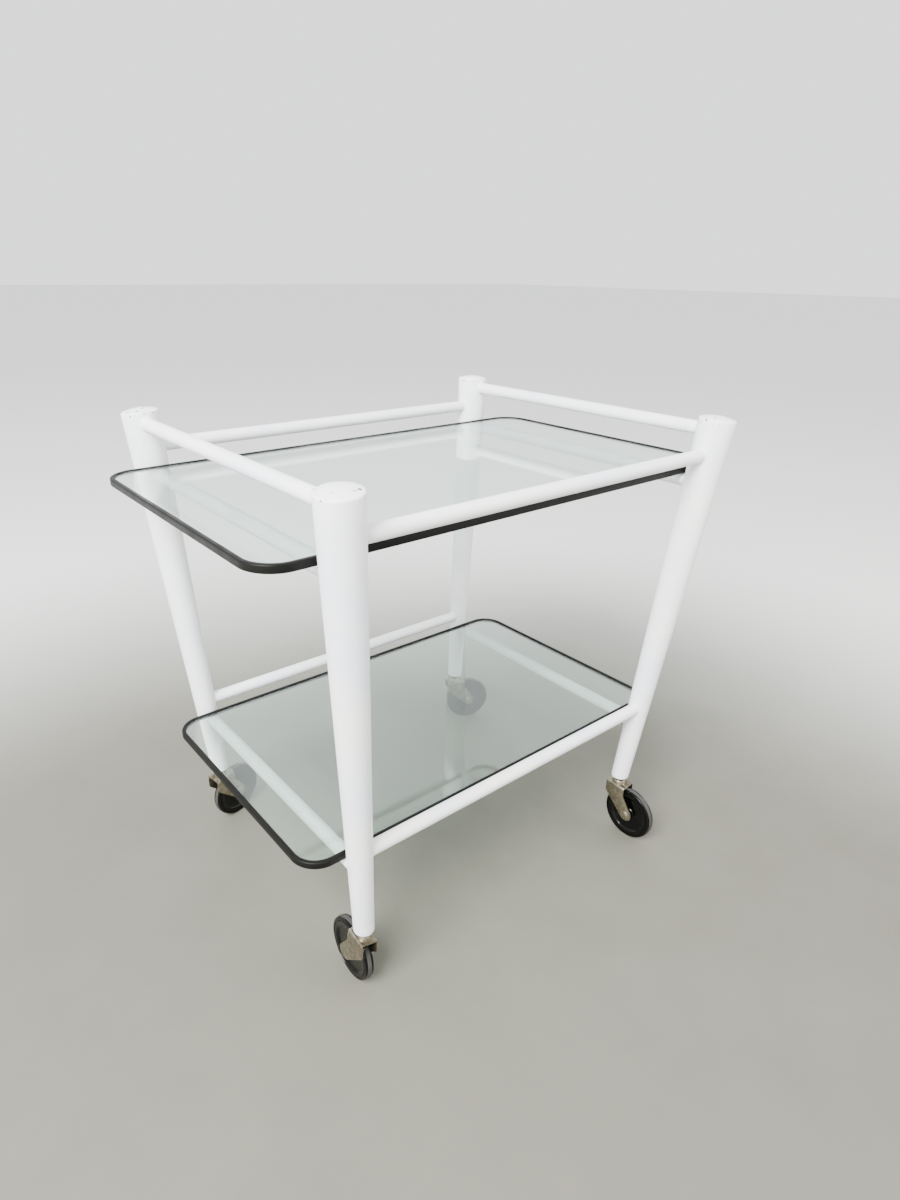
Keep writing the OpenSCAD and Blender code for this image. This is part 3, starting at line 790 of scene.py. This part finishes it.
def bent_fork():
    """The fork's sheet, folded and thickened, with softened edges and its boss."""
    bm = bmesh.new()
    outline = cheek_outline()
    sides = [[bm.verts.new((x, y, z)) for x, z in outline] for y in (-FORK_HALF, FORK_HALF)]
    for side in sides:
        bm.faces.new(side)
    near, far = sides
    bm.faces.new((near[0], near[-1], far[-1], far[0]))
    elbows = [side[k] for side in sides for k in (1, -2)]
    bmesh.ops.bevel(bm, geom=elbows, offset=ELBOW_R, segments=4, profile=0.5,
                    affect="VERTICES", material=-1)
    folds = [e for e in bm.edges if len(e.link_faces) == 2]
    soften(bm, folds, FOLD_R, 5)
    bmesh.ops.recalc_face_normals(bm, faces=bm.faces)
    plate = max(bm.faces, key=lambda f: f.calc_center_median().z)
    if plate.normal.z < 0:
        bmesh.ops.reverse_faces(bm, faces=bm.faces)
    bmesh.ops.solidify(bm, geom=bm.faces[:], thickness=SHEET_T)
    bmesh.ops.recalc_face_normals(bm, faces=bm.faces)
    rim = [e for e in bm.edges if e.calc_face_angle(0) > math.radians(60)]
    soften(bm, rim, 0.35 * MM, 2)
    add_to(bm, pressed_boss())
    return bm


# %% Axle rivet, stem, socket and washer
def axle_rivet():
    """The axle: a rivet through fork and wheel, with a low domed head on each side."""
    head_r, head_t = AXLE_R + 2 * MM, 2 * MM
    dome_r = (head_r ** 2 + (head_t - 0.5 * MM) ** 2) / (2 * (head_t - 0.5 * MM))
    sweep = math.degrees(math.asin(head_r / dome_r))
    dome = arc((0, FORK_HALF + head_t - dome_r), dome_r, 90 - sweep, 90, 6)
    half = [(AXLE_R, FORK_HALF), (head_r - 0.3 * MM, FORK_HALF), (head_r, FORK_HALF + 0.2 * MM)]
    half += dome[:-1]
    crown = FORK_HALF + head_t
    return turned([(0, -crown)] + [(r, -h) for r, h in reversed(half)] + half + [(0, crown)], steps=40)


def caster_stem():
    """The stem: a head under the plate and a shank that goes up into the foot."""
    under = PLATE_Z - SHEET_T
    head_low = under - 2.5 * MM
    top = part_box("caster_stem_front_left")[1].z
    return turned([
        (0, head_low), (4.6 * MM, head_low), (5.6 * MM, head_low + 0.6 * MM), (6 * MM, head_low + 1.5 * MM),
        (6 * MM, under), (4 * MM, under), (4 * MM, top - MM), (3 * MM, top), (0, top)], steps=48)


def stem_socket():
    """The flanged sleeve in the foot."""
    low, high = (corner.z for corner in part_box("stem_socket_front_left"))
    bore, wall, flange = STEM_HOLE_R, 5.25 * MM, 7.75 * MM
    seat = FOOT_Z
    return turned([
        (bore, low + 0.4 * MM), (bore + 0.4 * MM, low), (flange - 0.7 * MM, low), (flange, low + 0.7 * MM),
        (flange, seat - 0.3 * MM), (flange - 0.3 * MM, seat), (wall, seat), (wall, high), (bore, high)],
        steps=48, ring=True)


# %% Put the casters together
for corner in CORNERS:
    upright, axle = caster_place(corner), axle_place(corner)
    washer_low, washer_high = (c.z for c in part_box(f"thrust_washer_{corner}"))
    # The socket and washer take the dark steel, whose tone is partly painted shade under the foot.
    pieces = [
        (stem_socket(), "stem_socket", "dark_steel", greased_steel_with_painted_shade, upright),
        (caster_stem(), "caster_stem", "caster_steel", zinc, upright),
        (plain_ring(STEM_HOLE_R, WASHER_R, washer_low, washer_high, 0.6 * MM), "thrust_washer",
         "dark_steel", greased_steel_with_painted_shade, upright),
        (bent_fork(), "caster_fork", "caster_steel", zinc, upright),
        (axle_rivet(), "axle_rivet", "caster_steel", zinc, axle),
        (wheel_disc(), "wheel_disc", "wheel_plastic", phenolic, axle),
        (tyre_band(), "wheel_tyre", "tyre", rubber, axle),
        (plain_ring(3.05 * MM, 4.55 * MM, -7.7 * MM, 7.7 * MM, 0.2 * MM), "wheel_bush", "bush", bronze, axle),
    ]
    for bm, kind, slot, finish, place in pieces:
        finish_piece(bm, f"{kind}_piece_{corner}", f"{kind}_{corner}", finish, place, crease=30)
print("casters built:", len(CORNERS))

# %% [markdown]
# ## Floor, light and camera
# The setting is a plain studio: a floor without an edge in sight, a pale surround that the glass
# can mirror, one large soft light from the front left and a weak one from the right. The floor is
# a soft grey round the trolley, so that the white legs stand out from it, and fades into near
# white further off, so that the surround seems to come down to it.
# The camera stands at eye height close to the trolley, with a wide lens, and looks down on it.

# %% Pale floor
FLOOR_SIZE = 60
MOTTLING_MM = 140
PATCH_CENTRE = (-0.31, -0.39, 0)
PATCH_INNER = 0.75
PATCH_OUTER = 1.9


def studio_floor():
    """A wide level floor: a pale grey patch with a faint mottling that fades into near white."""
    finish, tree, shader = new_finish("pale_sealed_floor", IOR=1.45)
    place = add_node(tree, "ShaderNodeTexCoord").outputs["Object"]
    mottling = add_node(tree, "ShaderNodeTexNoise", {
        "Vector": place, "Scale": features(MOTTLING_MM), "Detail": 6.0, "Roughness": 0.6})
    patch = add_node(tree, "ShaderNodeMix", {
        MIX_FACTOR: mottling.outputs[0], MIX_A: hex_colour("#6E6D62"), MIX_B: hex_colour("#605F55")},
        data_type="RGBA")
    away = add_node(tree, "ShaderNodeVectorMath", {0: place, 1: PATCH_CENTRE}, operation="DISTANCE")
    fade = add_node(tree, "ShaderNodeMapRange", {
        "Value": away.outputs["Value"], "From Min": PATCH_INNER, "From Max": PATCH_OUTER},
        interpolation_type="SMOOTHSTEP")
    tone = add_node(tree, "ShaderNodeMix", {
        MIX_FACTOR: fade.outputs[0], MIX_A: patch.outputs[MIX_RESULT], MIX_B: hex_colour("#E3E4E1")},
        data_type="RGBA")
    dull = add_node(tree, "ShaderNodeMapRange", {
        "Value": mottling.outputs[0], "From Min": 0.3, "From Max": 0.7, "To Min": 0.5, "To Max": 0.65})
    tree.links.new(tone.outputs[MIX_RESULT], shader.inputs["Base Color"])
    tree.links.new(dull.outputs[0], shader.inputs["Roughness"])
    bm = bmesh.new()
    bmesh.ops.create_grid(bm, x_segments=1, y_segments=1, size=FLOOR_SIZE / 2)
    mesh = bpy.data.meshes.new("studio_floor")
    bm.to_mesh(mesh)
    bm.free()
    mesh.materials.append(finish)
    floor = bpy.data.objects.new("studio_floor", mesh)
    bpy.context.scene.collection.objects.link(floor)


studio_floor()


# %% Soft light
def soft_light(name, place, aim, size, power, colour):
    """A square area light that faces a point."""
    lamp = bpy.data.lights.new(name, "AREA")
    lamp.size = size
    lamp.energy = power
    lamp.color = hex_colour(colour)[:3]
    holder = bpy.data.objects.new(name, lamp)
    holder.location = place
    holder.rotation_euler = (Vector(aim) - Vector(place)).to_track_quat("-Z", "Y").to_euler()
    bpy.context.scene.collection.objects.link(holder)


surround = bpy.data.worlds.new("pale_surround")
surround.use_nodes = True
surround.node_tree.nodes["Background"].inputs["Color"].default_value = hex_colour("#F1F2F4")
surround.node_tree.nodes["Background"].inputs["Strength"].default_value = 2.0
bpy.context.scene.world = surround
soft_light("key_light", (-2.2, -0.9, 2.4), (0, 0, 0.3), 1.6, 400, "#FFFFFF")
soft_light("fill_light", (1.8, -1.6, 1.6), (0, 0, 0.3), 1.6, 30, "#FFF6EC")

# %% Camera
EYE = Vector((-0.5711, -0.6814, 0.7550))
TURN, DIP, TILT = math.radians(-38.56), math.radians(23.97), math.radians(0.83)

lens = bpy.data.cameras.new("camera")
lens.sensor_fit = "VERTICAL"
lens.sensor_height = 36
lens.lens = 22.47
lens.shift_x = 0.0355
camera = bpy.data.objects.new("camera", lens)
look = Matrix.Rotation(TURN, 4, "Z") @ Matrix.Rotation(math.pi / 2 - DIP, 4, "X")
look = look @ Matrix.Rotation(TILT, 4, "Z")
camera.matrix_world = Matrix.Translation(EYE) @ look
bpy.context.scene.collection.objects.link(camera)
bpy.context.scene.camera = camera
